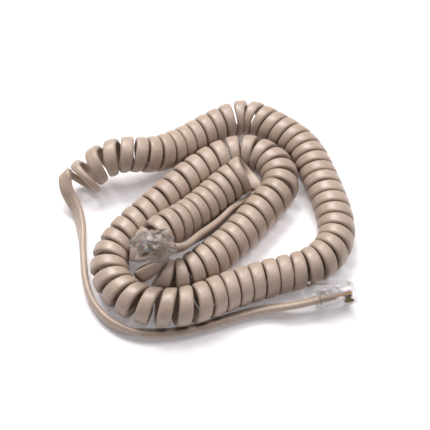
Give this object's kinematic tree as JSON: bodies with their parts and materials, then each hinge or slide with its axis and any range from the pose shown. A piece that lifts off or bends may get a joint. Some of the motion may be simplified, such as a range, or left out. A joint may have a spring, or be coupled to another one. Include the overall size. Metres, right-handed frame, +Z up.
{
  "type": "coiled telephone handset cord",
  "caption": "Curly flat handset cord folded in a low heap, a straight tail at each end, each in a clear modular plug with latch, contacts and coloured wires.",
  "frame": {"origin": "middle of the heap's bounding box, on the table under it", "axes": "+X to the heap's right along its longest side, +Y towards its back, +Z up from the table"},
  "size_m": [0.0976, 0.0955, 0.0281],
  "materials": {
    "cord_jacket": "smooth satin PVC jacket, warm beige",
    "clear_plug": "clear moulded polycarbonate, faint mould haze, glossy",
    "gold_contact": "bright gold-plated blade",
    "wire_yellow": "smooth insulation, amber yellow",
    "wire_green": "smooth insulation, green",
    "wire_red": "smooth insulation, red",
    "wire_black": "smooth insulation, black"
  },
  "bodies": {
    "cord": {"coil": "cord_jacket", "tail_long": "cord_jacket", "tail_short": "cord_jacket", "plug_body_a": "clear_plug", "jacket_clamp_a": "clear_plug", "wire_clamp_a": "clear_plug", "jacket_end_a": "cord_jacket", "contact_1_a": "gold_contact", "contact_2_a": "gold_contact", "contact_3_a": "gold_contact", "contact_4_a": "gold_contact", "wire_yellow_a": "wire_yellow", "wire_green_a": "wire_green", "wire_red_a": "wire_red", "wire_black_a": "wire_black", "plug_body_b": "clear_plug", "jacket_clamp_b": "clear_plug", "wire_clamp_b": "clear_plug", "jacket_end_b": "cord_jacket", "contact_1_b": "gold_contact", "contact_2_b": "gold_contact", "contact_3_b": "gold_contact", "contact_4_b": "gold_contact", "wire_yellow_b": "wire_yellow", "wire_green_b": "wire_green", "wire_red_b": "wire_red", "wire_black_b": "wire_black"},
    "latch_a": {"plug_latch_a": "clear_plug"},
    "latch_b": {"plug_latch_b": "clear_plug"}
  },
  "joints": [
    {"name": "latch_a_flex", "type": "hinge", "parent": "cord", "child": "latch_a", "pos_m": [-0.02005, -0.02431, 0.02474], "axis": [0.6471, -0.0185, 0.7622], "range_deg": [-10, 0], "stiffness_Nm_per_rad": 0.02},
    {"name": "latch_b_flex", "type": "hinge", "parent": "cord", "child": "latch_b", "pos_m": [0.04474, -0.02932, 0.00721], "axis": [-0.2009, 0.6606, -0.7234], "range_deg": [-10, 0], "stiffness_Nm_per_rad": 0.02}
  ]
}
